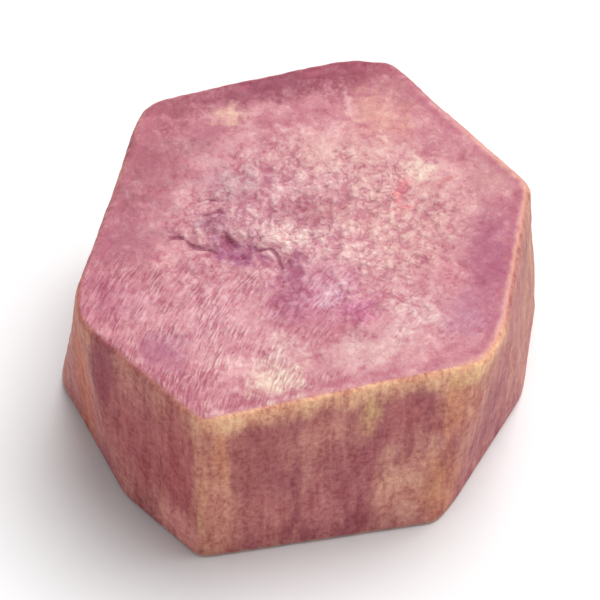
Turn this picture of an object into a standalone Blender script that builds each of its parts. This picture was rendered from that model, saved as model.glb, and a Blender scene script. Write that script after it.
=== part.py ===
"""A thick chunk of peeled purple sweet potato, trimmed by a knife to flat facets, on its lower cut face.

The front is -Y and up is +Z. The flesh is one solid piece: knife facets all round, a slightly tilted upper
cut face with a torn furrow near its middle, and a flat lower cut face that it rests on.
"""

import math

import bmesh
import bpy
from mathutils import Vector, geometry, noise

MM = 0.001

# Driving dimensions, in metres
HEIGHT = 42.0 * MM  # between the two cut faces, at the middle
TOP_RISE_X = -0.012  # slope of the upper cut face along X
TOP_RISE_Y = 0.010  # slope of the upper cut face along Y
BASE_RIM = 0.7 * MM  # rounding where the facets meet the lower cut face
SIDE_STEP = 2.7 * MM  # mesh spacing round and up the facets
TOP_STEP = 2.2 * MM  # mesh spacing on the upper cut face
BASE_STEP = 9.0 * MM  # mesh spacing on the flat lower cut face
CORNER_STEPS = 3  # segments round each upright edge
RIM_STEPS = 3  # segments round the upper and lower rims

# The upright edges between knife facets, counterclockwise from the front left, in millimetres: where each
# stands at the base, where it stands at the top, how round it is, and how round the upper rim is there.
EDGES = {
    "front left": ((-18.0, -39.5), (-16.9, -39.6), 1.6, 1.2),
    "front right": ((23.9, -32.0), (30.6, -26.9), 1.6, 1.6),
    "undercut front": ((27.2, -27.6), (33.4, -24.0), 1.8, 1.6),
    "undercut back": ((40.2, -4.0), (35.6, -17.6), 2.0, 1.2),
    "right": ((43.4, 17.2), (40.6, 12.2), 1.8, 0.9),
    "back right": ((22.0, 39.8), (16.0, 40.2), 2.0, 1.0),
    "back": ((8.5, 43.2), (8.0, 40.9), 2.4, 1.0),
    "back left": ((-36.4, 29.0), (-28.0, 30.5), 4.2, 1.2),
    "left": ((-44.0, -0.6), (-39.0, -12.4), 2.4, 0.9),
    "front bevel": ((-31.4, -26.3), (-38.7, -18.2), 2.0, 0.9),
}

# Relief of the flesh, with the paths and places in millimetres
SWELL = 0.35 * MM  # broad waves that the knife leaves on every facet
SWELL_SIZE = 13.0 * MM
FLAT_FADE = 5.0 * MM  # all relief dies away from this height down to the flat base
FURROW = ((-24.5, -0.4), (-19.5, -0.9), (-15.0, -2.8), (-9.6, -1.2), (-6.2, -2.4), (-4.0, -6.2))
FURROW_DEPTH = 0.8 * MM
FURROW_WIDTH = 1.5 * MM
HOLLOW = (-12.0, -2.4)  # the soft dip that the furrow crosses
HOLLOW_DEPTH = 0.7 * MM
HOLLOW_WIDTH = 5.0 * MM
KNIFE_STEP = ((-2.6, 24.0), (-0.9, 2.0))  # x and height of both ends of the mark where two front strokes meet
KNIFE_STEP_DEPTH = 0.45 * MM
KNIFE_STEP_WIDTH = 1.8 * MM
FACING_UP = 0.7  # the normal's Z from which a point belongs to the upper cut face
FACING_FRONT = -0.7  # the normal's Y below which a point belongs to the front facet

# How the mesh is laid out
LONGEST_ROUNDING = 0.4  # most of a short facet that the rounding of one upright edge may take
LATTICE_CLEARANCE = 0.7  # gap between a cut face's inner points and its outline, in steps
QUARTER_TURN = math.radians(90)
ROW_ANGLE = math.radians(60)  # between neighbours in a staggered lattice
SAME_POINT = 1e-9
SHARP_ANGLE = math.radians(30)

FLESH_COLOUR = (0.55, 0.24, 0.26, 1.0)
FLESH_ROUGHNESS = 0.45


def clear_scene():
    for obj in list(bpy.data.objects):
        bpy.data.objects.remove(obj, do_unlink=True)


def millimetres(pair):
    return Vector(pair) * MM


def corners_at(share):
    """The corners of the block's outline at this share of its height."""
    return [millimetres(low).lerp(millimetres(high), share) for low, high, _, _ in EDGES.values()]


def side_counts():
    """How many mesh points lie along each facet, the same at every height."""
    middle = corners_at(0.5)
    return [
        max(2, round((middle[(i + 1) % len(middle)] - corner).length / SIDE_STEP))
        for i, corner in enumerate(middle)
    ]


def rounded_corner(corners, i):
    """Points along the curve that rounds corner i."""
    corner = corners[i]
    before = corners[i - 1] - corner
    after = corners[(i + 1) % len(corners)] - corner
    roundness = list(EDGES.values())[i][2] * MM
    reach = min(roundness, LONGEST_ROUNDING * before.length, LONGEST_ROUNDING * after.length)
    start = corner + before.normalized() * reach
    end = corner + after.normalized() * reach
    shares = [k / CORNER_STEPS for k in range(CORNER_STEPS + 1)]
    return [start.lerp(corner, u).lerp(corner.lerp(end, u), u) for u in shares]


def outline_at(share, insets):
    """The rounded outline at this share of the height, moved in by an inset given for each upright edge."""
    corners = corners_at(share)
    curves = [rounded_corner(corners, i) for i in range(len(corners))]
    points = []
    moves = []
    for i, count in enumerate(side_counts()):
        following = (i + 1) % len(corners)
        along = [k / count for k in range(1, count)]
        points += curves[i] + [curves[i][-1].lerp(curves[following][0], u) for u in along]
        moves += [insets[i]] * len(curves[i])
        moves += [insets[i] + (insets[following] - insets[i]) * u for u in along]
    return [moved_in(points, i, move) for i, move in enumerate(moves)]


def moved_in(points, i, distance):
    """Point i of the outline moved this far towards the inside."""
    along = (points[(i + 1) % len(points)] - points[i - 1]).normalized()
    return points[i] + Vector((-along.y, along.x)) * distance


def top_height(point):
    return HEIGHT + TOP_RISE_X * point.x + TOP_RISE_Y * point.y


def lifted_outline(share, insets):
    return [Vector((p.x, p.y, share * top_height(p))) for p in outline_at(share, insets)]


def outlines():
    """The outlines that the skin is stretched over, from the base up: lower rim, facets, upper rim."""
    top_rims = [edge[3] * MM for edge in EDGES.values()]
    lowest = BASE_RIM / HEIGHT
    highest = 1 - max(top_rims) / HEIGHT
    levels = round((highest - lowest) * HEIGHT / SIDE_STEP)
    for k in range(RIM_STEPS):
        turn = QUARTER_TURN * k / RIM_STEPS
        yield lifted_outline(lowest * (1 - math.cos(turn)), [BASE_RIM * (1 - math.sin(turn))] * len(EDGES))
    for k in range(levels + 1):
        yield lifted_outline(lowest + (highest - lowest) * k / levels, [0.0] * len(EDGES))
    for k in range(1, RIM_STEPS + 1):
        turn = QUARTER_TURN * k / RIM_STEPS
        share = highest + (1 - highest) * math.sin(turn)
        yield lifted_outline(share, [rim * (1 - math.cos(turn)) for rim in top_rims])


def inside_by(start, end, point):
    """How far the point lies to the left of the line from start to end."""
    return (end - start).normalized().cross(point - start)


def lattice(outline, step):
    """Staggered points inside a convex outline, kept clear of its edge."""
    sides = list(zip(outline, outline[1:] + outline[:1]))
    rows = math.ceil(max(point.length for point in outline) / step)
    found = []
    for row in range(-rows, rows + 1):
        for column in range(-rows, rows + 1):
            point = Vector(((column + 0.5 * (row % 2)) * step, row * step * math.sin(ROW_ANGLE)))
            if all(inside_by(a, b, point) > LATTICE_CLEARANCE * step for a, b in sides):
                found.append(point)
    return found


def add_cut_face(bm, ring, step, height_at, upwards):
    """Fills the ring with even triangles, its inner points at height_at(point)."""
    outline = [vert.co.xy for vert in ring]
    inner = lattice(outline, step)
    verts = ring + [bm.verts.new((p.x, p.y, height_at(p))) for p in inner]
    triangles_inside = 1
    _, _, faces, origins, _, _ = geometry.delaunay_2d_cdt(
        outline + inner, [], [list(range(len(ring)))], triangles_inside, SAME_POINT
    )
    for face in faces:
        corners = [verts[origins[k][0]] for k in face]
        bm.faces.new(corners if upwards else corners[::-1])


def distance_to_path(point, path):
    """How far the point lies from a bent line, given in millimetres."""
    best = math.inf
    for a, b in zip(path, path[1:]):
        start = millimetres(a)
        span = millimetres(b) - start
        share = min(max((point - start).dot(span) / span.length_squared, 0.0), 1.0)
        best = min(best, (point - start - span * share).length)
    return best


def bump(distance, width):
    return math.exp(-((distance / width) ** 2))


def relief(place, normal):
    """How far the flesh stands out here, from its knife waves, furrow, hollow and knife step."""
    out = SWELL * noise.noise(place / SWELL_SIZE)
    if normal.z > FACING_UP:
        out -= FURROW_DEPTH * bump(distance_to_path(place.xy, FURROW), FURROW_WIDTH)
        out -= HOLLOW_DEPTH * bump((place.xy - millimetres(HOLLOW)).length, HOLLOW_WIDTH)
    if normal.y < FACING_FRONT:
        out -= KNIFE_STEP_DEPTH * bump(distance_to_path(place.xz, KNIFE_STEP), KNIFE_STEP_WIDTH)
    return out * min(place.z / FLAT_FADE, 1.0)


def add_relief(bm):
    bm.normal_update()
    places = [vert.co + vert.normal * relief(vert.co, vert.normal) for vert in bm.verts]
    for vert, place in zip(bm.verts, places):
        vert.co = place


def stand_over_origin(bm):
    """Moves the block sideways so that the origin is under the middle of its bounding box."""
    lows = Vector((min(vert.co.x for vert in bm.verts), min(vert.co.y for vert in bm.verts), 0))
    highs = Vector((max(vert.co.x for vert in bm.verts), max(vert.co.y for vert in bm.verts), 0))
    bmesh.ops.translate(bm, verts=bm.verts, vec=-(lows + highs) / 2)


def flesh_material():
    material = bpy.data.materials.new("sweet potato flesh")
    material.use_nodes = True
    shader = material.node_tree.nodes["Principled BSDF"]
    shader.inputs["Base Color"].default_value = FLESH_COLOUR
    shader.inputs["Roughness"].default_value = FLESH_ROUGHNESS
    shader.inputs["Metallic"].default_value = 0.0
    material.diffuse_color = FLESH_COLOUR
    return material


def build_chunk():
    bm = bmesh.new()
    rings = [[bm.verts.new(point) for point in outline] for outline in outlines()]
    for low, high in zip(rings, rings[1:]):
        for i, vert in enumerate(low):
            bm.faces.new((low[i - 1], vert, high[i], high[i - 1]))
    add_cut_face(bm, rings[0], BASE_STEP, lambda point: 0.0, upwards=False)
    add_cut_face(bm, rings[-1], TOP_STEP, top_height, upwards=True)
    add_relief(bm)
    stand_over_origin(bm)
    bmesh.ops.triangulate(bm, faces=bm.faces)
    mesh = bpy.data.meshes.new("sweet_potato_chunk")
    bm.to_mesh(mesh)
    bm.free()
    mesh.shade_smooth()
    mesh.set_sharp_from_angle(angle=SHARP_ANGLE)
    mesh.materials.append(flesh_material())
    chunk = bpy.data.objects.new("sweet_potato_chunk", mesh)
    bpy.context.scene.collection.objects.link(chunk)


clear_scene()
build_chunk()
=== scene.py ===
"""The looks of the purple sweet potato chunk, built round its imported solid.

One fine mesh of flesh stands for the solid. It keeps the solid's form and adds the torn upper face, its
cracks, the fibres and the uneven edges. Its colours are worked out from where a point lay in the root.
"""

import math

import bmesh
import bpy
import numpy as np
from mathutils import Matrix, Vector, kdtree, noise


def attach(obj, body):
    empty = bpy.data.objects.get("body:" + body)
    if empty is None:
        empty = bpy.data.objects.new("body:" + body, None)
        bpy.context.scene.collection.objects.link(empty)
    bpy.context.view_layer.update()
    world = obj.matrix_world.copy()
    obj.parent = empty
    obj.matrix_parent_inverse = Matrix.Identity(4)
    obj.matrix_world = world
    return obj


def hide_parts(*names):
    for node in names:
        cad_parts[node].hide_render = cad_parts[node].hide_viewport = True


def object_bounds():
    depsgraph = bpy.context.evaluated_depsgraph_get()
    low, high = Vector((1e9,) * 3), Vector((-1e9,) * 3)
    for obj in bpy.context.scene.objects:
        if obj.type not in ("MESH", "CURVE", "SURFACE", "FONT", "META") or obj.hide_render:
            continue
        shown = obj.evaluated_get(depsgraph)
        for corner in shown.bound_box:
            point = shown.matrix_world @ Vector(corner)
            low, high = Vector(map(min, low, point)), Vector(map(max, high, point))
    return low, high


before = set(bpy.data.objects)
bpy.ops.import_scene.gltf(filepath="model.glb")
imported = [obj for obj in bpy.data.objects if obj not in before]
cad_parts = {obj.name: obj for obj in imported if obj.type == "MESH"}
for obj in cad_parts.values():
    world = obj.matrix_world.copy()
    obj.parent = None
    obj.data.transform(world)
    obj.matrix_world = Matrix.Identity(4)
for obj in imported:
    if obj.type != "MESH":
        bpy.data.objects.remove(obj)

CAD_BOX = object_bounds()
MM = 0.001
NODE = "sweet_potato_chunk"

# The camera looks at the middle of the chunk, as the photograph does
CAMERA_ELEVATION = 53.0
CAMERA_DISTANCE = 0.75
CAMERA_WIDTH = 0.107  # what the picture spans at the chunk, in metres
CAMERA_NEAR = 0.01

# A plain pale floor under a broad sun and an even white sky
FLOOR_RADIUS = 5.0
FLOOR_SEGMENTS = 128
FLOOR_COLOUR = (0.82, 0.82, 0.825, 1.0)
FLOOR_ROUGHNESS = 0.9
SUN_STRENGTH = 3.0
SUN_SIZE = 42.0  # how wide the sun looks, in degrees: it makes the shadows soft
SUN_TURN = (-15.0, 16.0, 0.0)  # from straight above, in degrees
SKY_COLOUR = (1.0, 1.0, 1.0, 1.0)
SKY_STRENGTH = 0.42

# The fine mesh
VOXEL = 0.54 * MM
SMOOTH_STEPS = 4
SMOOTH_SHARE = 0.5
SAME_PLACE = 1e-6  # vertices nearer each other than this are one
FACING_UP = 0.7  # the normal's Z above which a face belongs to the upper face
FACING_DOWN = -0.999  # and below which it belongs to the flat base
BASE_LEVEL = 0.1 * MM  # the flat base lies lower than this
BASE_MARGIN = 4  # how many faces of the flat base stay fine, in from its rim
CRACK_MARGIN = 1.3  # the mesh is twice as fine this near a crack, in millimetres
TORN_ENOUGH = 0.35  # and where the upper face is torn more than this

# From here on, sizes are in millimetres, apart from those that MM turns into metres.

# Cracks in the upper face: the path in the plan, the depth and the width
CRACKS = {
    "main": (
        (
            (-24.8, -2.8), (-22.6, -1.6), (-20.2, -1.8), (-18.3, -3.3),
            (-16.1, -3.9), (-12.2, -4.6), (-10.0, -6.2),
        ),
        0.44,
        0.32,
    ),
    "round the knob": (
        ((-18.6, 0.2), (-17.4, 2.8), (-14.6, 4.2), (-12.4, 2.6), (-11.8, -0.2)),
        0.22,
        0.32,
    ),
    "right": (
        ((-12.8, 1.0), (-10.0, -1.8), (-7.4, -3.4), (-5.2, -3.8), (-4.1, -5.2), (-3.2, -7.2), (-3.0, -9.0)),
        0.36,
        0.32,
    ),
    "stem": (
        ((-1.3, -3.1), (-0.2, -4.8), (-0.4, -7.0), (-1.3, -9.1), (0.0, -11.3), (-0.9, -15.6)),
        0.24,
        0.30,
    ),
    "pocket": (((-14.0, 0.4), (-11.8, -2.3), (-10.0, -4.6), (-8.6, -6.4)), 0.40, 0.42),
    "upper crease": (((-18.6, 5.6), (-16.4, 6.8), (-12.7, 6.4)), 0.26, 0.32),
    "far crease": (((2.2, -7.5), (4.2, -6.4), (6.3, -6.1)), 0.20, 0.28),
}
CRACK_SHOULDER = 0.22  # a crack's wide shoulders, as a share of its depth
SHOULDER_WIDTH = 3.5  # in crack widths
CRACK_ENDS = (0.02, 0.98)  # a crack keeps a little depth at both ends of its path
LEAST_CRACK = 0.35  # the share of its depth that a crack keeps where it fades
CRACK_FADE = (-0.35, 0.25)  # the values of its noise between which it fades

# Soft forms of the upper face: middle in the plan, radius and height
FORMS = {
    "knob": ((-15.2, 1.9), 2.5, 0.45),
    "hollow": ((-10.8, -3.8), 2.8, -0.45),
    "dip": ((3.5, -13.5), 6.5, -0.30),
    "core": ((10.4, -17.6), 2.4, -0.25),
    "lip": ((-7.0, -8.5), 3.0, 0.15),
}

# Where the upper face is torn: an ellipse in the plan with a ragged edge
TORN_MIDDLE = (1.5, -0.5)
TORN_REACH = (30.0, 21.0)
TORN_RAGGED = 0.35
TORN_EDGE = (0.65, 1.15)  # the shares of the reach between which the tear ends

# Noise of the relief: the size of its waves, and where in the noise it starts
WAVES = {
    "swell": (4.5, 0.0),
    "ripple": (1.9, 7.0),
    "fibres": (1.3, 11.0),
    "edges": (3.0, 19.0),
    "grit": (1.1, 3.0),
    "wide creases": (3.6, 61.0),
    "fine creases": (2.2, 83.0),
    "crease fade": (4.0, 97.0),
    "crack fade": (2.8, 53.0),
    "torn outline": (7.0, 71.0),
}
# How far each form stands out or cuts in
HEIGHTS = {
    "swell": 0.10,
    "ripple": 0.05,
    "fibres": 0.08,
    "edges": 0.16,
    "lumps": 0.44,
    "grit": 0.10,
    "creases": 0.16,
}
# Places moved this way and that: the size of the waves, how far they move a place, and where they start
CRACK_WANDER = (2.4, 0.7, 31.0)
LUMP_WANDER = (2.6, 0.55, 5.0)
NEXT_AXIS = 16.0  # how far on in the noise the next axis starts
LUMP_SIZES = (2.9, 1.6)
LUMP_EDGE = (0.05, 0.72)  # where a lump starts and ends, as shares of its size
LUMP_LEVEL = 0.4  # lumps higher than this stand out, and the others sink in
EDGE_LEVEL = 0.4  # the same for the waves along the edges
FIBRES_DRAWN = (1.0, 1.0, 0.16)  # the fibres are drawn out upright
WIDE_CREASE = 0.08
FINE_CREASE = 0.10
FINE_CREASE_SHARE = 0.7
LEAST_CREASE = 0.20  # how much of the creases is left where the upper face isn't torn
CREASE_FADE = (-0.5, 0.3)
UPPER_FACING = (0.72, 0.95)  # the normal's Z between which the upper face starts
UPPER_SINK = 0.15  # keeps the relief of the upper face under the solid's highest point
SINK_REACH = 2.0
BASE_FADE = (0.2, 3.0)  # the heights between which the relief starts
BASE_FACING = -0.9
BASE_REACH = 0.4  # the base is pressed flat up to this height
SOFT_ROUNDS = 6  # how often the normals are averaged to find the edges
EDGE_TURN = (0.01, 0.14)  # how much shorter averaged normals get between a flat facet and an edge
RIM_FACING = (0.3, 0.8)  # the normal's Z along the upper rim
RIM_HEIGHT = 38.0  # the upper rim lies above this
LEAST_UPPER = 0.01  # less of the upper face than this counts as none


def smoothstep(low, high, value):
    share = np.clip((value - low) / (high - low), 0.0, 1.0)
    return share * share * (3.0 - 2.0 * share)


def noise_at(places, size, start):
    """Noise from -1 to 1 at each place, its waves about size across."""
    return np.array([noise.noise(Vector(p)) for p in places / size + start])


def wave(places, name):
    return noise_at(places, *WAVES[name])


def lumps_at(places, size):
    """Round lumps about size across: 1 in the middle of each and 0 between them."""
    away = np.array([noise.voronoi(Vector(p))[0][0] for p in places / size])
    return 1.0 - smoothstep(*LUMP_EDGE, away)


def follow_path(places, path):
    """How far each place lies from a bent line in the plan, and how far along it, from 0 to 1."""
    best = np.full(len(places), np.inf)
    along = np.zeros(len(places))
    for k, (start, end) in enumerate(zip(np.array(path), np.array(path)[1:])):
        span = end - start
        share = np.clip((places - start) @ span / (span @ span), 0.0, 1.0)
        away = np.linalg.norm(places - start - share[:, None] * span, axis=1)
        along = np.where(away < best, (k + share) / (len(path) - 1), along)
        best = np.minimum(best, away)
    return best, along


def bell(distance, width):
    return np.exp(-((distance / width) ** 2))


def fine_mesh(node):
    """An even, slightly softened copy of the solid's surface."""
    bm = bmesh.new()
    bm.from_mesh(node.data)
    bmesh.ops.remove_doubles(bm, verts=bm.verts, dist=SAME_PLACE)
    rough = bpy.data.meshes.new("rough")
    bm.to_mesh(rough)
    bm.free()
    holder = bpy.data.objects.new("holder", rough)
    bpy.context.scene.collection.objects.link(holder)
    remesh = holder.modifiers.new("even", "REMESH")
    remesh.mode = "VOXEL"
    remesh.voxel_size = VOXEL
    smooth = holder.modifiers.new("soften", "SMOOTH")
    smooth.factor = SMOOTH_SHARE
    smooth.iterations = SMOOTH_STEPS
    depsgraph = bpy.context.evaluated_depsgraph_get()
    mesh = bpy.data.meshes.new_from_object(holder.evaluated_get(depsgraph))
    bpy.data.objects.remove(holder)
    bm = bmesh.new()
    bm.from_mesh(mesh)
    refine_torn_face(bm)
    thin_out_base(bm)
    bm.to_mesh(mesh)
    bm.free()
    return mesh


def refine_torn_face(bm):
    """Makes the mesh twice as fine where the upper face is torn or cracked."""
    bm.faces.ensure_lookup_table()
    middles = np.array([face.calc_center_median() for face in bm.faces]) / MM
    upward = np.array([face.normal.z for face in bm.faces]) > FACING_UP
    near = np.full(len(middles), np.inf)
    for path, _, _ in CRACKS.values():
        near = np.minimum(near, follow_path(middles[:, :2], path)[0])
    wanted = upward & ((near < CRACK_MARGIN) | (torn_share(middles, upward) > TORN_ENOUGH))
    chosen = [bm.faces[index] for index in np.nonzero(wanted)[0]]
    edges = list(dict.fromkeys(edge for face in chosen for edge in face.edges))
    bmesh.ops.subdivide_edges(bm, edges=edges, cuts=1, use_grid_fill=True)
    bmesh.ops.triangulate(bm, faces=[face for face in bm.faces if len(face.verts) > 4])


def belongs_to_base(face):
    return face.normal.z < FACING_DOWN and face.calc_center_median().z < BASE_LEVEL


def has_all_round(faces, face):
    return all(other in faces for vert in face.verts for other in vert.link_faces)


def thin_out_base(bm):
    """Joins the many small faces of the flat base, which show no detail, into a few large ones."""
    flat = [face for face in bm.faces if belongs_to_base(face)]
    for _ in range(BASE_MARGIN):
        known = set(flat)
        flat = [face for face in flat if has_all_round(known, face)]
    joined = bmesh.ops.dissolve_faces(bm, faces=flat, use_verts=True)["region"]
    bmesh.ops.triangulate(bm, faces=joined)


def read(collection, field, width):
    values = np.empty(len(collection) * width, np.float32)
    collection.foreach_get(field, values)
    return values.reshape(-1, width).astype(float)


def read_edges(mesh):
    edges = np.empty(len(mesh.edges) * 2, np.int32)
    mesh.edges.foreach_get("vertices", edges)
    return edges.reshape(-1, 2)


def neighbour_mean(values, edges, count):
    """Each vertex's values averaged with those of its neighbours."""
    total = values.copy()
    times = np.ones(count)
    for a, b in ((0, 1), (1, 0)):
        times += np.bincount(edges[:, a], minlength=count)
        for k in range(values.shape[1]):
            total[:, k] += np.bincount(edges[:, a], values[edges[:, b], k], minlength=count)
    return total / times[:, None]


def edge_softness(normals, edges):
    """How sharply the surface turns near each vertex: 0 on a flat facet, near 1 along an edge."""
    mean = normals
    for _ in range(SOFT_ROUNDS):
        mean = neighbour_mean(mean, edges, len(normals))
    return smoothstep(*EDGE_TURN, 1.0 - np.linalg.norm(mean, axis=1))


def distance_from_rim(places, normals, upper):
    """How far each point of the upper face lies inside its rim."""
    low, high = RIM_FACING
    on_rim = (normals[:, 2] > low) & (normals[:, 2] < high) & (places[:, 2] > RIM_HEIGHT)
    rim = np.nonzero(on_rim)[0]
    tree = kdtree.KDTree(len(rim))
    for k, index in enumerate(rim):
        tree.insert((places[index, 0], places[index, 1], 0.0), k)
    tree.balance()
    found = np.zeros(len(places))
    for index in np.nonzero(upper > LEAST_UPPER)[0]:
        found[index] = tree.find((places[index, 0], places[index, 1], 0.0))[2]
    return found


def wandering(places, size, reach, start):
    """The places moved a little this way and that, so that what is laid on them isn't regular."""
    moves = [noise_at(places, size, start + NEXT_AXIS * k) for k in range(3)]
    return places + np.stack(moves, axis=1) * reach


def cracks_at(places, upper):
    """How deep the cracks cut at each place. They wander and fade here and there."""
    moved = wandering(places, *CRACK_WANDER)[:, :2]
    fade = LEAST_CRACK + (1.0 - LEAST_CRACK) * smoothstep(*CRACK_FADE, wave(places, "crack fade"))
    depth = np.zeros(len(places))
    for path, deep, wide in CRACKS.values():
        away, along = follow_path(moved, path)
        shoulder = CRACK_SHOULDER * bell(away, wide * SHOULDER_WIDTH)
        taper = np.sqrt(np.sin(np.pi * np.clip(along, *CRACK_ENDS)))
        depth = np.maximum(depth, deep * taper * (bell(away, wide) + shoulder))
    return depth * fade * upper


def creases_at(places, wavy, upper, torn):
    """Fine creases, 1 in the middle of each. They fade here and there and where the face isn't torn."""
    wide = bell(wave(wavy, "wide creases"), WIDE_CREASE)
    fine = FINE_CREASE_SHARE * bell(wave(wavy, "fine creases"), FINE_CREASE)
    share = (LEAST_CREASE + (1.0 - LEAST_CREASE) * torn) * upper
    return np.maximum(wide, fine) * (share * smoothstep(*CREASE_FADE, wave(places, "crease fade")))


def torn_share(places, upper):
    """1 where the upper face is torn and granular, 0 where the knife left it smooth."""
    reach = np.hypot(*((places[:, k] - TORN_MIDDLE[k]) / TORN_REACH[k] for k in (0, 1)))
    reach += TORN_RAGGED * wave(places, "torn outline")
    return upper * (1.0 - smoothstep(*TORN_EDGE, reach))


def relief(places, fields):
    """How far the flesh stands out from the solid at each place."""
    upper, torn = fields["upper"], fields["torn"]
    out = HEIGHTS["swell"] * wave(places, "swell") + HEIGHTS["ripple"] * wave(places, "ripple")
    out += HEIGHTS["fibres"] * wave(places * FIBRES_DRAWN, "fibres") * (1.0 - upper)
    out += HEIGHTS["edges"] * fields["edge"] * (wave(places, "edges") - EDGE_LEVEL)
    lumpy = HEIGHTS["lumps"] * (fields["lumps"] - LUMP_LEVEL) + HEIGHTS["grit"] * wave(places, "grit")
    out += torn * lumpy - HEIGHTS["creases"] * fields["creases"] - fields["cracks"]
    for middle, radius, height in FORMS.values():
        out += height * upper * bell(np.hypot(places[:, 0] - middle[0], places[:, 1] - middle[1]), radius)
    return out - UPPER_SINK * upper * smoothstep(0.0, SINK_REACH, fields["from_rim"])


def build_flesh():
    mesh = fine_mesh(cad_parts[NODE])
    places = read(mesh.vertices, "co", 3) / MM
    normals = read(mesh.vertex_normals, "vector", 3)

    upper = smoothstep(*UPPER_FACING, normals[:, 2])
    torn = torn_share(places, upper)
    wavy = wandering(places, *LUMP_WANDER)
    fields = {
        "upper": upper,
        "edge": edge_softness(normals, read_edges(mesh)),
        "from_rim": distance_from_rim(places, normals, upper),
        "torn": torn,
        "cracks": cracks_at(places, upper),
        "creases": creases_at(places, wavy, upper, torn),
        "lumps": sum(lumps_at(wavy, size) for size in LUMP_SIZES) / len(LUMP_SIZES),
    }

    moved = places + normals * relief(places, fields)[:, None]
    places += (moved - places) * smoothstep(*BASE_FADE, places[:, 2])[:, None]
    low, high = (np.array(corner) / MM for corner in CAD_BOX)
    places = np.clip(places, low, high)
    base = (normals[:, 2] < BASE_FACING) & (places[:, 2] < BASE_REACH)
    places[base, 2] = low[2]
    mesh.vertices.foreach_set("co", (places * MM).astype(np.float32).ravel())

    for name, values in fields.items():
        attribute = mesh.attributes.new(name, "FLOAT", "POINT")
        attribute.data.foreach_set("value", values.astype(np.float32))
    mesh.update()
    mesh.shade_smooth()
    flesh = bpy.data.objects.new("chunk_flesh", mesh)
    bpy.context.scene.collection.objects.link(flesh)
    mesh.materials.clear()
    mesh.materials.append(flesh_material())
    return flesh


# Noise patterns of the flesh: size, detail, roughness and distortion
PATTERNS = {
    "warp": (3.2, 4.0, 0.62, 0.0),
    "ragged": (1.7, 5.0, 0.68, 0.0),
    "wet": (2.4, 3.0, 0.60, 0.0),
    "zones": (6.0, 2.0, 0.50, 0.0),
    "upper marbling": (5.0, 6.0, 0.62, 0.0),
    "speckle": (1.2, 4.0, 0.66, 0.4),
    "mottle": (3.4, 4.0, 0.60, 0.6),
    "wide crumple": (3.0, 3.0, 0.55, 0.8),
    "fine crumple": (1.7, 3.0, 0.55, 0.8),
    "drag marks": (1.0, 2.0, 0.50, 0.25),
    "side marbling": (6.0, 6.0, 0.62, 0.0),
    "streaks": (2.4, 3.0, 0.55, 0.0),
    "side grain": (0.9, 4.0, 0.70, 0.0),
    "side fibres": (1.2, 2.0, 0.50, 0.0),
    "side mottle": (3.4, 4.0, 0.60, 0.0),
    "patchy rim": (3.0, 4.0, 0.60, 0.0),
}
# How much the height counts in each pattern. The root's fibres run upright and draw it out along them.
UPRIGHT = {
    "fibrous": 0.22,
    "upper marbling": 0.3,
    "side marbling": 0.35,
    "streaks": 0.08,
    "side grain": 0.8,
    "side fibres": 0.12,
    "side mottle": 0.55,
    "plan": 0.0,
}
# Smooth steps: two values, then the results below the first and above the second
STEPS = {
    "roughness": (0.35, 0.65, 0.54, 0.72),
    "grains": (0.10, 0.55, 1.0, 0.0),
    "drag marks": (0.30, 0.70, 0.0, 1.0),
    "striped zones": (0.38, 0.62, -0.25, 0.45),
    "striped from the left": (-24.0, 22.0, 0.60, -0.1),
    "striped from the front": (-13.0, -2.0, 1.0, 0.05),
    "pale lump tops and highlight": (0.30, 1.00, 0.0, 0.16),
    # the next two set how much painted shade darkens the creases and the cracks
    "creases": (0.15, 0.9, 0.0, 0.48),
    "cracks": (0.05, 0.30, 0.0, 0.74),
    "line inside the rim": (0.9, 1.5, 0.0, 1.0),
    "end of the line": (1.8, 2.8, 1.0, 0.0),
    "parts of the line": (0.42, 0.6, 0.0, 0.55),
    "towards the right": (2.0, 14.0, 0.0, 1.0),
    "near the skin": (-0.5, 4.5, 0.75, 0.0),
    "band below the rim": (35.2, 40.4, 0.0, 0.90),
    "end of the band": (-26.0, -16.0, 1.0, 0.15),
    "tan inside the rim": (0.1, 1.2, 0.75, 0.0),
    "far right": (24.0, 32.0, 0.0, 1.0),
    "patchy rim": (0.35, 0.62, 0.20, 0.85),
    "edge": (0.3, 1.0, 0.0, 1.0),
}
# How far each pattern swings about its middle
SWINGS = {
    "ragged": 2.2,
    "grains": 0.40,
    "lumps": 0.85,
    "speckle": 1.6,
    "crumple": 2.0,
    "stripes": 1.30,
    "striped speckle": 1.7,
    "mottle": 1.3,
    "side grain": 2.7,
    "side fibres": 1.3,
    "streaks in the marbling": 0.4,
    "streaks near the skin": 6.0,
    "streaks in the patches": 0.8,
    "marbling below the rim": 9.0,
}
WARP_REACH = 7.0  # how far the warp moves the marbling and the patches
BEND_REACH = 2.4  # and how far it moves the fine patterns
GRAIN_SIZE = 0.9
GRAIN_SOFTNESS = 0.6
TORN_LIGHTER = 0.26
CRUMPLE_SHADES = {"wide crumple": 0.32, "fine crumple": 0.14}  # how much painted shade darkens the lines of each, as in a crease
CRUMPLE_WIDTH = 0.11
LEAST_CRUMPLE = 0.25  # how much of the crumples is left where the upper face isn't torn
STRIPED_CLOUD = -0.5  # what the stripes take from the mottling
UPPER_LEVEL = 0.58  # the middle of the upper face's pattern
SIDE_MOTTLE = (1.7, -0.35)  # the mottling's strength on the facets, and what is added to it
STRIPE_CENTRE = (66.0, -57.0, 0.0)  # the knife's drag marks are arcs round this point
STRIPE_WANDER = 1.2
STRIPES_ACROSS = 2.3  # how close the drag marks lie
STRIPES_ALONG = 30.0  # and how short they are
RIGHT_SLOPE = -0.6  # the line that parts the right from the left runs aslant
SKIN_RADIUS = 45.0  # the root's own surface, before it was trimmed
SKIN_TAPER = 0.05  # how much nearer the axis it comes with height
RAGGED_SIDES = 0.45  # how ragged the patches of the facets are, beside those of the upper face
RIM_BAND_RAGGED = 3.4
RIM_TAN_RAGGED = 0.6
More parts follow.
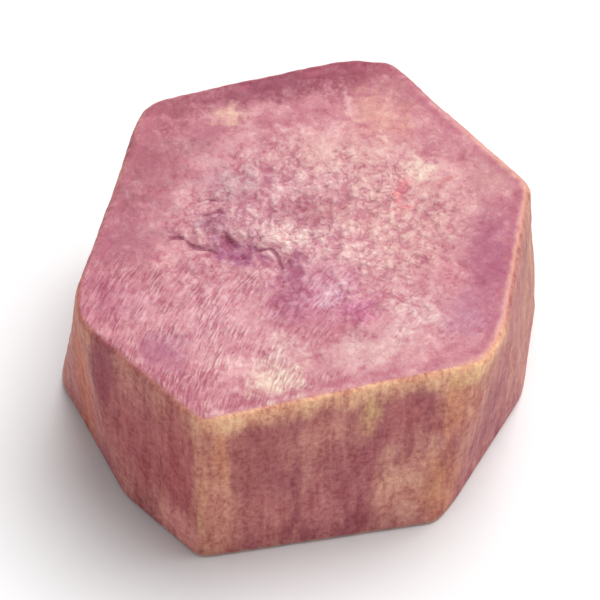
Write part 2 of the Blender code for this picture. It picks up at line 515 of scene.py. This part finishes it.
LEFT_EDGE = 0.45  # how strong the plum along the left and back edges is
UPPER_PATCH_ENDS = (0.15, 1.30)  # a patch is full up to one share of its reach, and gone from the other
SIDE_PATCH_ENDS = (0.25, 1.30)
UPPER_CONTRAST = 0.80
SIDE_CONTRAST = 0.90

# The moist surface
UPPER_SMOOTHER = -0.16  # what is added to the roughness on the upper face
BUMP_DISTANCE = 0.20 * MM
BUMP_STRENGTH = 0.9
SURFACE = {
    "Specular IOR Level": 0.25,
    "IOR": 1.34,
    "Coat Weight": 0.10,
    "Coat Roughness": 0.20,
    "Subsurface Weight": 0.15,
    "Subsurface Radius": (1.0, 0.4, 0.35),
    "Subsurface Scale": 2.0 * MM,
}

# The colours are linear red, green and blue. Those of a marbling stand beside their places in it.
UPPER_MARBLING = (
    (0.30, (0.40, 0.120, 0.165)),
    (0.45, (0.49, 0.180, 0.220)),
    (0.58, (0.57, 0.250, 0.280)),
    (0.72, (0.66, 0.340, 0.350)),
)
SIDE_MARBLING = (
    (0.30, (0.36, 0.090, 0.110)),
    (0.50, (0.48, 0.145, 0.155)),
    (0.70, (0.62, 0.245, 0.205)),
)
CORTEX = (
    (0.30, (0.60, 0.230, 0.170)),
    (0.55, (0.70, 0.310, 0.200)),
    (0.75, (0.80, 0.420, 0.220)),
)
# Pale flesh on the tops of the lumps, partly a painted highlight
PALE_LUMP_AND_HIGHLIGHT = (0.80, 0.550, 0.500, 1.0)
# Painted shade: the two colours below darken the creases and the cracks of the upper face
CREASE_SHADE_COLOUR = (0.36, 0.090, 0.150, 1.0)
CRACK_SHADE_COLOUR = (0.24, 0.045, 0.095, 1.0)
RIM_LINE = (0.44, 0.120, 0.170, 1.0)
RIM_BAND = (0.92, 0.490, 0.305, 1.0)
RIM_TAN = (0.78, 0.430, 0.300, 1.0)
RIM_PLUM = (0.36, 0.110, 0.150, 1.0)
# What the fine patterns multiply the colour by in their dark and light parts
# On the upper face the light part is partly a painted highlight on the raised grains and lumps, and the
# dark part partly painted shade in the low parts of the pattern.
UPPER_DARK_AND_SHADE = (0.76, 0.48, 0.62, 1.0)
UPPER_LIGHT_AND_HIGHLIGHT = (1.21, 1.50, 1.38, 1.0)
SIDE_DARK = (0.74, 0.54, 0.60, 1.0)
SIDE_LIGHT = (1.20, 1.45, 1.35, 1.0)

# Patches of the flesh that differ from the rest: the middle, the reach each way, the turn about the
# upright axis in degrees, the colour, and how strong it is. Those of the upper face are given in the plan.
PATCH_HEIGHT = 42.0
PATCH_REACH = 8.0
UPPER_PATCHES = {
    "pale torn ground": ((1.0, 3.0), (27.0, 18.0), 0.0, (0.665, 0.388, 0.410), 0.90),
    "rose along the back": ((-5.0, 33.0), (24.0, 5.4), 15.5, (0.262, 0.060, 0.096), 0.90),
    "rose back left corner": ((-22.5, 27.0), (8.0, 5.0), 20.0, (0.310, 0.080, 0.110), 0.60),
    "deep rose at the back": ((9.0, 36.0), (11.0, 4.6), 5.0, (0.290, 0.061, 0.094), 0.80),
    "rose left": ((-26.5, 14.5), (7.5, 10.5), -15.0, (0.340, 0.102, 0.134), 0.70),
    "rose upper left": ((-18.6, 19.0), (5.0, 3.8), 0.0, (0.330, 0.120, 0.155), 0.60),
    "rose far left": ((-31.0, -1.5), (7.5, 10.5), -25.0, (0.355, 0.108, 0.152), 0.75),
    "rose by the left rim": ((-31.0, 7.5), (4.6, 6.0), 0.0, (0.295, 0.082, 0.113), 0.65),
    "rose middle": ((3.6, 4.2), (9.5, 4.4), 5.0, (0.360, 0.080, 0.130), 0.85),
    "rose right": ((33.5, 12.0), (5.0, 6.5), 0.0, (0.520, 0.255, 0.250), 0.55),
    "peach": ((14.5, 25.5), (7.5, 6.3), -30.0, (0.620, 0.290, 0.255), 0.85),
    "pale behind the middle": ((5.5, 16.8), (12.5, 5.4), 0.0, (0.690, 0.412, 0.380), 0.75),
    "rose behind the peach": ((17.0, 31.4), (6.0, 3.2), -40.0, (0.400, 0.130, 0.150), 0.65),
    "pale field": ((17.0, 4.0), (15.0, 16.0), 0.0, (0.660, 0.365, 0.345), 0.80),
    "pale middle": ((-2.0, -2.6), (5.0, 4.0), 0.0, (0.750, 0.480, 0.460), 0.80),
    "pale right of the middle": ((9.6, -5.2), (5.5, 3.4), 0.0, (0.740, 0.445, 0.440), 0.65),
    "lilac grey": ((-12.0, 10.0), (7.0, 5.2), -20.0, (0.470, 0.245, 0.282), 0.75),
    "pale striped": ((-14.0, -18.0), (11.0, 9.5), 20.0, (0.630, 0.305, 0.350), 0.75),
    "pink low": ((12.0, -25.5), (11.0, 4.6), 15.0, (0.665, 0.422, 0.408), 0.60),
    "cream right of the middle": ((20.2, -18.0), (6.0, 6.0), 0.0, (0.690, 0.430, 0.430), 0.75),
    "cream above the front": ((-3.0, -26.5), (3.6, 4.4), 0.0, (0.760, 0.520, 0.488), 0.65),
    "pale front left": ((-10.5, -29.5), (5.0, 3.2), 10.0, (0.760, 0.440, 0.440), 0.70),
    "cream at the front": ((-4.0, -32.6), (5.5, 4.6), 0.0, (0.710, 0.490, 0.420), 0.90),
    "violet right": ((33.2, -5.5), (5.4, 13.5), -8.0, (0.365, 0.098, 0.166), 0.85),
    "pink beside the violet": ((26.6, -10.0), (3.2, 4.0), 0.0, (0.640, 0.290, 0.320), 0.60),
    "lilac front right": ((29.0, -18.5), (5.6, 5.2), 0.0, (0.450, 0.180, 0.265), 0.70),
    "violet middle": ((3.5, -13.5), (10.0, 7.5), -25.0, (0.565, 0.235, 0.335), 0.70),
    "violet below the stem": ((-1.5, -16.0), (4.0, 3.4), 0.0, (0.380, 0.110, 0.190), 0.70),
    "violet stem": ((-1.0, -8.5), (2.6, 5.6), 0.0, (0.350, 0.100, 0.180), 0.85),
    "magenta core": ((10.6, -17.6), (3.2, 3.0), 0.0, (0.600, 0.205, 0.335), 0.80),
    "lilac glint": ((5.7, -13.8), (3.6, 2.4), 30.0, (0.680, 0.430, 0.500), 0.70),
    "mauve front left": ((-23.0, -26.0), (5.2, 4.8), -40.0, (0.400, 0.145, 0.215), 0.75),
    "mauve far left": ((-33.0, -15.5), (4.6, 7.0), 0.0, (0.440, 0.130, 0.198), 0.60),
    "pink left": ((-26.5, -16.0), (5.0, 3.6), 0.0, (0.670, 0.340, 0.385), 0.60),
    "violet knob": ((-14.5, 1.7), (3.4, 3.0), 0.0, (0.340, 0.120, 0.182), 0.90),
    "violet in the furrow": ((-10.4, -4.4), (5.8, 3.8), -25.0, (0.335, 0.087, 0.189), 0.95),
    "tan spot": ((-12.5, 25.3), (3.2, 2.7), -20.0, (0.650, 0.365, 0.310), 1.00),
    "pale streak": ((8.6, 28.8), (1.2, 3.8), 5.0, (0.710, 0.410, 0.420), 0.70),
    "cream spot": ((20.9, 13.6), (2.8, 2.5), 0.0, (0.770, 0.580, 0.480), 0.95),
    "bright middle": ((-1.5, -2.0), (3.4, 2.6), 0.0, (0.860, 0.630, 0.570), 0.80),
    "red fleck": ((17.8, 8.0), (1.1, 4.4), -5.0, (0.860, 0.240, 0.255), 0.60),
    "small red fleck": ((25.0, 10.8), (2.6, 1.0), 25.0, (0.520, 0.165, 0.165), 0.55),
}
FRONT = 13.0  # the turn of the front facet
LEFT = -46.0  # and that of the facet left of it
SIDE_PATCHES = {
    "ochre left corner": ((-10.5, -40.4, 40.6), (7.5, 4.0, 2.8), FRONT, (0.95, 0.52, 0.31), 0.90),
    "ochre by the left corner": ((-13.2, -40.6, 31.0), (1.5, 4.0, 12.0), FRONT, (0.71, 0.275, 0.16), 0.80),
    "tan down the left corner": ((-13.4, -40.8, 12.0), (2.4, 4.0, 15.0), FRONT, (0.76, 0.315, 0.235), 0.60),
    "mauve left": ((-6.3, -39.4, 28.7), (7.2, 4.0, 10.5), FRONT, (0.485, 0.146, 0.14), 0.75),
    "mauve lower left": ((-7.0, -39.5, 10.0), (6.5, 4.0, 10.0), FRONT, (0.64, 0.22, 0.2), 0.55),
    "violet low middle": ((3.9, -37.5, 11.0), (4.4, 4.0, 10.5), FRONT, (0.65, 0.225, 0.23), 0.70),
    "light streaks": ((5.0, -37.3, 32.0), (5.0, 4.0, 8.5), FRONT, (0.73, 0.3, 0.24), 0.65),
    "pale fibre": ((0.2, -38.4, 34.0), (0.5, 4.0, 9.0), FRONT, (0.58, 0.21, 0.2), 0.60),
    "dark violet middle": ((10.4, -36.3, 17.0), (3.9, 4.0, 15.5), FRONT, (0.45, 0.12, 0.145), 0.80),
    "olive tan": ((12.6, -36.1, 34.0), (2.4, 4.0, 6.5), FRONT, (0.88, 0.56, 0.245), 0.80),
    "mauve upper right": ((18.5, -35.0, 31.0), (5.6, 4.0, 8.0), FRONT, (0.6, 0.185, 0.175), 0.80),
    "tan column": ((18.0, -34.9, 13.0), (6.2, 4.0, 13.0), FRONT, (0.82, 0.39, 0.29), 0.80),
    "mauve low right": ((22.8, -34.1, 20.0), (4.0, 4.0, 6.5), FRONT, (0.87, 0.42, 0.325), 0.60),
    "orange right border": ((26.0, -33.0, 9.0), (5.5, 4.5, 12.0), FRONT, (0.7, 0.28, 0.16), 0.75),
    "ochre right corner": ((28.2, -32.0, 33.0), (4.4, 6.0, 11.0), FRONT, (0.84, 0.35, 0.205), 0.80),
    "ochre tip": ((29.5, -31.0, 39.8), (4.4, 6.0, 4.0), FRONT, (0.9, 0.56, 0.215), 0.90),
    "knife step": ((-0.6, -38.3, 13.5), (0.7, 3.0, 12.5), FRONT, (0.3, 0.075, 0.09), 0.60),
    "orange beside the bevel": ((-39.2, -19.4, 27.0), (2.3, 3.5, 15.0), LEFT, (0.62, 0.19, 0.11), 0.80),
    "violet beside the bevel": ((-34.0, -24.4, 33.0), (5.0, 4.0, 14.0), LEFT, (0.3, 0.05, 0.08), 0.90),
    "mauve left front": ((-26.5, -31.5, 22.0), (12.0, 4.5, 18.0), LEFT, (0.41, 0.08, 0.096), 0.75),
    "mauve by the left corner": ((-20.8, -37.8, 20.0), (4.6, 4.0, 26.0), LEFT, (0.445, 0.098, 0.108), 0.90),
    "pale left front": ((-28.2, -30.2, 32.4), (2.8, 3.5, 4.8), LEFT, (0.48, 0.14, 0.14), 0.50),
    "tan at the front foot": ((-21.5, -37.0, 5.0), (5.2, 5.0, 6.5), LEFT, (0.86, 0.33, 0.305), 0.60),
    "orange on the bevel": ((-39.6, -15.4, 22.0), (4.6, 5.6, 27.0), 0.0, (0.545, 0.13, 0.068), 0.85),
    "tan right facet": ((41.0, 1.0, 22.0), (6.0, 17.0, 24.0), 0.0, (0.56, 0.255, 0.18), 0.60),
}


class Graph:
    """Adds shader nodes and links them. Most calls give the socket that holds their result."""

    def __init__(self, name):
        self.material = bpy.data.materials.new(name)
        self.material.use_nodes = True
        self.tree = self.material.node_tree
        self.shader = self.tree.nodes["Principled BSDF"]

    def feed(self, socket, value):
        if isinstance(value, bpy.types.NodeSocket):
            self.tree.links.new(value, socket)
        else:
            socket.default_value = value

    def node(self, kind, inputs=(), **settings):
        made = self.tree.nodes.new("ShaderNode" + kind)
        for name, value in settings.items():
            setattr(made, name, value)
        for key, value in dict(inputs).items():
            self.feed(made.inputs[key], value)
        return made

    def math(self, operation, *values, clamp=False):
        return self.node("Math", enumerate(values), operation=operation, use_clamp=clamp).outputs[0]

    def vector(self, operation, *values):
        made = self.node("VectorMath", operation=operation)
        for socket, value in zip(made.inputs, values):
            self.feed(socket, value)
        return made.outputs[0]

    def length(self, value):
        return self.node("VectorMath", {0: value}, operation="LENGTH").outputs["Value"]

    def axes(self, place):
        return self.node("SeparateXYZ", {"Vector": place}).outputs

    def attribute(self, name):
        return self.node("Attribute", attribute_name=name).outputs["Fac"]

    def swing(self, value, name):
        """The value, from 0 to 1, as one about 0 that spans the reach of this name."""
        return self.math("MULTIPLY_ADD", value, SWINGS[name], -SWINGS[name] / 2)

    def step(self, value, low, high, below, above):
        """below under low, above over high, and a smooth change between them."""
        inputs = {"Value": value, "From Min": low, "From Max": high, "To Min": below, "To Max": above}
        return self.node("MapRange", inputs, interpolation_type="SMOOTHSTEP").outputs["Result"]

    def named_step(self, value, name):
        return self.step(value, *STEPS[name])

    def noise(self, place, name, output="Fac"):
        size, detail, roughness, distortion = PATTERNS[name]
        inputs = {
            "Vector": place,
            "Scale": 1.0 / size,
            "Detail": detail,
            "Roughness": roughness,
            "Distortion": distortion,
        }
        return self.node("TexNoise", inputs).outputs[output]

    def cells(self, place, size, softness):
        inputs = {"Vector": place, "Scale": 1.0 / size, "Smoothness": softness}
        return self.node("TexVoronoi", inputs, feature="SMOOTH_F1").outputs["Distance"]

    def upright(self, place, name):
        return self.vector("MULTIPLY", place, (1.0, 1.0, UPRIGHT[name]))

    def upright_noise(self, place, name):
        return self.noise(self.upright(place, name), name)

    def mix(self, share, first, second, blend="MIX"):
        made = self.node("Mix", data_type="RGBA", blend_type=blend)
        self.feed(made.inputs["Factor"], share)
        self.feed(made.inputs[6], first)
        self.feed(made.inputs[7], second)
        return made.outputs[2]

    def blend(self, share, first, second):
        """The same as mix, for plain values."""
        inputs = {"Factor": share, "A": first, "B": second}
        return self.node("Mix", inputs, data_type="FLOAT").outputs[0]

    def ramp(self, share, stops):
        made = self.node("ValToRGB", {"Fac": share})
        elements = made.color_ramp.elements
        while len(elements) < len(stops):
            elements.new(0.5)
        for element, (position, colour) in zip(elements, stops):
            element.position = position
            element.color = (*colour, 1.0)
        return made.outputs["Color"]


def in_space(patches):
    """The patches of the upper face, given in the plan, with their height."""
    return [
        ((*middle, PATCH_HEIGHT), (*reach, PATCH_REACH), turn, paint, strength)
        for middle, reach, turn, paint, strength in patches.values()
    ]


def patched(graph, place, ragged, colour, patches, ends):
    """The colour with the patches laid over it."""
    full, gone = ends
    for middle, reach, turn, paint, strength in patches:
        turned = (0, 0, math.radians(turn))
        inputs = {"Vector": place, "Location": middle, "Rotation": turned, "Scale": reach}
        inside = graph.node("Mapping", inputs, vector_type="TEXTURE").outputs[0]
        far = graph.math("ADD", graph.length(inside), ragged)
        colour = graph.mix(graph.step(far, full, gone, strength, 0.0), colour, (*paint, 1.0))
    return colour


def textured(graph, colour, texture, dark, light, strength):
    """The colour with a fine texture, darker where it is under a half and lighter where it is over."""
    deep = graph.mix(1.0, colour, dark, "MULTIPLY")
    bright = graph.mix(1.0, colour, light, "MULTIPLY")
    colour = graph.mix(graph.step(texture, 0.0, 0.5, strength, 0.0), colour, deep)
    return graph.mix(graph.step(texture, 0.5, 1.0, 0.0, strength), colour, bright)


def flesh_material():
    graph = Graph("raw_sweet_potato_flesh")
    place = graph.vector("MULTIPLY", graph.node("TexCoord").outputs["Object"], (1.0 / MM,) * 3)
    axes = graph.axes(place)
    upper = graph.attribute("upper")
    torn = graph.attribute("torn")

    fibrous = graph.upright(place, "fibrous")
    warp = graph.vector("SUBTRACT", graph.noise(fibrous, "warp", "Color"), (0.5, 0.5, 0.5))
    warped = graph.vector("MULTIPLY_ADD", warp, (WARP_REACH,) * 3, place)
    bent = graph.vector("MULTIPLY_ADD", warp, (BEND_REACH,) * 3, place)
    ragged = graph.swing(graph.noise(fibrous, "ragged"), "ragged")

    upper_texture = upper_pattern(graph, place, axes, bent, warp, torn)
    upper_colour = upper_face(graph, place, warped, ragged, upper_texture, torn)
    side_texture = side_pattern(graph, place, bent)
    side_colour = trimmed_facets(graph, place, axes, warped, ragged, side_texture)
    colour = graph.mix(upper, side_colour, upper_colour)
    colour = rimmed(graph, place, axes, ragged, colour, upper)
    graph.feed(graph.shader.inputs["Base Color"], colour)

    wet = graph.named_step(graph.noise(place, "wet"), "roughness")
    roughness = graph.math("MULTIPLY_ADD", upper, UPPER_SMOOTHER, wet)
    graph.feed(graph.shader.inputs["Roughness"], roughness)
    height = graph.blend(upper, side_texture, upper_texture)
    bump = graph.node("Bump", {"Height": height, "Distance": BUMP_DISTANCE, "Strength": BUMP_STRENGTH})
    graph.feed(graph.shader.inputs["Normal"], bump.outputs[0])
    for name, value in SURFACE.items():
        graph.shader.inputs[name].default_value = value
    return graph.material


def drag_marks(graph, place, warp):
    """Fine arcs that the knife left across the upper face."""
    arm = graph.vector("MULTIPLY_ADD", warp, (STRIPE_WANDER,) * 3, place)
    arm = graph.vector("SUBTRACT", arm, STRIPE_CENTRE)
    arm_axes = graph.axes(arm)
    radius = graph.length(graph.upright(arm, "plan"))
    bearing = graph.math("ARCTAN2", arm_axes["Y"], arm_axes["X"])
    across = graph.math("MULTIPLY", radius, STRIPES_ACROSS)
    along = graph.math("MULTIPLY", bearing, STRIPES_ALONG)
    bent_round = graph.node("CombineXYZ", {"X": across, "Y": along}).outputs[0]
    return graph.named_step(graph.noise(bent_round, "drag marks"), "drag marks")


def upper_pattern(graph, place, axes, bent, warp, torn):
    """The fine pattern of the upper face: torn and granular in the middle, drag marks at the lower left."""
    speckle = graph.noise(place, "speckle")
    mottle = graph.noise(bent, "mottle")
    # The grains and lumps are lighter in their raised middles: partly a painted highlight.
    grains = graph.named_step(graph.cells(bent, GRAIN_SIZE, GRAIN_SOFTNESS), "grains")
    grains = graph.math("MULTIPLY", graph.swing(grains, "grains"), torn)
    lumps = graph.math("MULTIPLY", graph.swing(graph.attribute("lumps"), "lumps"), torn)
    granular = graph.math("ADD", graph.math("ADD", grains, lumps), graph.swing(speckle, "speckle"))
    granular = graph.math("MULTIPLY_ADD", torn, TORN_LIGHTER, granular)
    # The crumple lines sink in the bump and are darkened with painted shade.
    for name, dark in CRUMPLE_SHADES.items():
        crumple = graph.math("ABSOLUTE", graph.swing(graph.noise(bent, name), "crumple"))
        line = graph.step(crumple, 0.0, CRUMPLE_WIDTH, dark, 0.0)
        share = graph.math("MULTIPLY_ADD", torn, 1.0 - LEAST_CRUMPLE, LEAST_CRUMPLE)
        granular = graph.math("SUBTRACT", granular, graph.math("MULTIPLY", line, share))

    stripes = graph.swing(drag_marks(graph, place, warp), "stripes")
    striped = graph.math("ADD", stripes, graph.swing(speckle, "striped speckle"))
    zone = graph.named_step(graph.noise(place, "zones"), "striped zones")
    share = graph.math("ADD", graph.named_step(axes["X"], "striped from the left"), zone)
    share = graph.math("MULTIPLY", share, graph.named_step(axes["Y"], "striped from the front"), clamp=True)
    pattern = graph.blend(share, granular, striped)
    left = graph.math("MULTIPLY_ADD", share, STRIPED_CLOUD, 1.0)
    cloud = graph.math("MULTIPLY", graph.swing(mottle, "mottle"), left)
    return graph.math("ADD", pattern, graph.math("ADD", cloud, UPPER_LEVEL))


def upper_face(graph, place, warped, ragged, texture, torn):
    """The colour of the upper face, with painted shade in its creases and cracks and a dark line a little
    inside its rim.
    """
    colour = graph.ramp(graph.upright_noise(warped, "upper marbling"), UPPER_MARBLING)
    colour = patched(graph, warped, ragged, colour, in_space(UPPER_PATCHES), UPPER_PATCH_ENDS)
    # random mottling, with a painted highlight on the raised parts and painted shade in the low ones
    colour = textured(graph, colour, texture, UPPER_DARK_AND_SHADE, UPPER_LIGHT_AND_HIGHLIGHT, UPPER_CONTRAST)
    # The lump tops are paler: pale flesh, partly a painted highlight.
    pale = graph.math("MULTIPLY", graph.named_step(graph.attribute("lumps"), "pale lump tops and highlight"), torn)
    colour = graph.mix(pale, colour, PALE_LUMP_AND_HIGHLIGHT)
    # painted shade in the creases
    colour = graph.mix(graph.named_step(graph.attribute("creases"), "creases"), colour, CREASE_SHADE_COLOUR)
    # painted shade down the cracks
    colour = graph.mix(graph.named_step(graph.attribute("cracks"), "cracks"), colour, CRACK_SHADE_COLOUR)
    from_rim = graph.attribute("from_rim")
    start = graph.named_step(from_rim, "line inside the rim")
    line = graph.math("MULTIPLY", start, graph.named_step(from_rim, "end of the line"))
    parts = graph.named_step(graph.noise(place, "zones"), "parts of the line")
    return graph.mix(graph.math("MULTIPLY", line, parts), colour, RIM_LINE)


def side_pattern(graph, place, bent):
    """The fine pattern of the facets: a stipple of cut cells over soft upright streaks."""
    grain = graph.upright_noise(place, "side grain")
    fibres = graph.upright_noise(place, "side fibres")
    mottle = graph.upright_noise(bent, "side mottle")
    fine = graph.math("ADD", graph.swing(grain, "side grain"), graph.swing(fibres, "side fibres"))
    return graph.math("ADD", fine, graph.math("MULTIPLY_ADD", mottle, *SIDE_MOTTLE))


def towards_right(graph, axes):
    """0 at the left and the back, 1 at the right and the front, where more flesh near the skin is left."""
    across = graph.math("MULTIPLY_ADD", axes["Y"], RIGHT_SLOPE, axes["X"])
    return graph.named_step(across, "towards the right")


def trimmed_facets(graph, place, axes, warped, ragged, texture):
    """The colour of the facets, tan where they come near the old skin and below the rim."""
    streaks = graph.upright_noise(place, "streaks")
    tone = graph.upright_noise(warped, "side marbling")
    marbling = graph.math("ADD", tone, graph.swing(streaks, "streaks in the marbling"))
    colour = graph.ramp(marbling, SIDE_MARBLING)

    from_axis = graph.length(graph.upright(place, "plan"))
    skin = graph.math("SUBTRACT", SKIN_RADIUS, graph.math("MULTIPLY", axes["Z"], SKIN_TAPER))
    depth = graph.math("SUBTRACT", skin, from_axis)
    depth = graph.math("ADD", depth, graph.swing(streaks, "streaks near the skin"))
    colour = graph.mix(graph.named_step(depth, "near the skin"), colour, graph.ramp(streaks, CORTEX))

    soft = graph.math("MULTIPLY", ragged, RAGGED_SIDES)
    soft = graph.math("ADD", soft, graph.swing(streaks, "streaks in the patches"))
    colour = patched(graph, warped, soft, colour, SIDE_PATCHES.values(), SIDE_PATCH_ENDS)

    height = graph.math("MULTIPLY_ADD", soft, RIM_BAND_RAGGED, graph.swing(tone, "marbling below the rim"))
    height = graph.math("ADD", axes["Z"], height)
    band = graph.named_step(height, "band below the rim")
    band = graph.math("MULTIPLY", band, towards_right(graph, axes))
    band = graph.math("MULTIPLY", band, graph.named_step(axes["Y"], "end of the band"))
    colour = graph.mix(band, colour, RIM_BAND)
    return textured(graph, colour, texture, SIDE_DARK, SIDE_LIGHT, SIDE_CONTRAST)


def rimmed(graph, place, axes, ragged, colour, upper):
    """The colour with tan along the upper rim on the right and at the front, and plum along the rest."""
    right = towards_right(graph, axes)
    inside = graph.math("MULTIPLY_ADD", ragged, RIM_TAN_RAGGED, graph.attribute("from_rim"))
    inside = graph.named_step(inside, "tan inside the rim")
    inside = graph.math("MULTIPLY", inside, graph.math("MULTIPLY", right, upper))
    far_right = graph.named_step(axes["X"], "far right")
    colour = graph.mix(graph.math("MULTIPLY", inside, far_right), colour, RIM_TAN)
    patchy = graph.named_step(graph.noise(place, "patchy rim"), "patchy rim")
    edge = graph.math("MULTIPLY", graph.named_step(graph.attribute("edge"), "edge"), patchy)
    colour = graph.mix(graph.math("MULTIPLY", edge, right), colour, RIM_TAN)
    left = graph.math("SUBTRACT", LEFT_EDGE, graph.math("MULTIPLY", right, LEFT_EDGE))
    return graph.mix(graph.math("MULTIPLY", edge, left), colour, RIM_PLUM)


def build_floor():
    bm = bmesh.new()
    bmesh.ops.create_circle(bm, cap_ends=True, segments=FLOOR_SEGMENTS, radius=FLOOR_RADIUS)
    mesh = bpy.data.meshes.new("floor")
    bm.to_mesh(mesh)
    bm.free()
    floor = bpy.data.objects.new("floor", mesh)
    bpy.context.scene.collection.objects.link(floor)
    graph = Graph("pale_floor")
    graph.shader.inputs["Base Color"].default_value = FLOOR_COLOUR
    graph.shader.inputs["Roughness"].default_value = FLOOR_ROUGHNESS
    mesh.materials.append(graph.material)


def build_light():
    sun = bpy.data.lights.new("key", "SUN")
    sun.energy = SUN_STRENGTH
    sun.angle = math.radians(SUN_SIZE)
    key = bpy.data.objects.new("key", sun)
    key.rotation_euler = [math.radians(turn) for turn in SUN_TURN]
    bpy.context.scene.collection.objects.link(key)
    world = bpy.data.worlds.new("studio")
    world.use_nodes = True
    background = world.node_tree.nodes["Background"]
    background.inputs["Color"].default_value = SKY_COLOUR
    background.inputs["Strength"].default_value = SKY_STRENGTH
    bpy.context.scene.world = world
    bpy.context.scene.view_settings.view_transform = "Standard"


def build_camera():
    low, high = CAD_BOX
    target = (low + high) / 2
    turn = math.radians(CAMERA_ELEVATION)
    camera = bpy.data.objects.new("camera", bpy.data.cameras.new("camera"))
    camera.location = target + Vector((0, -math.cos(turn), math.sin(turn))) * CAMERA_DISTANCE
    camera.rotation_euler = (math.radians(90) - turn, 0, 0)
    camera.data.lens = camera.data.sensor_width * CAMERA_DISTANCE / CAMERA_WIDTH
    camera.data.clip_start = CAMERA_NEAR
    bpy.context.scene.collection.objects.link(camera)
    bpy.context.scene.camera = camera


build_camera()
build_light()
build_floor()
flesh = build_flesh()
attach(flesh, "root")
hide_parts(NODE)
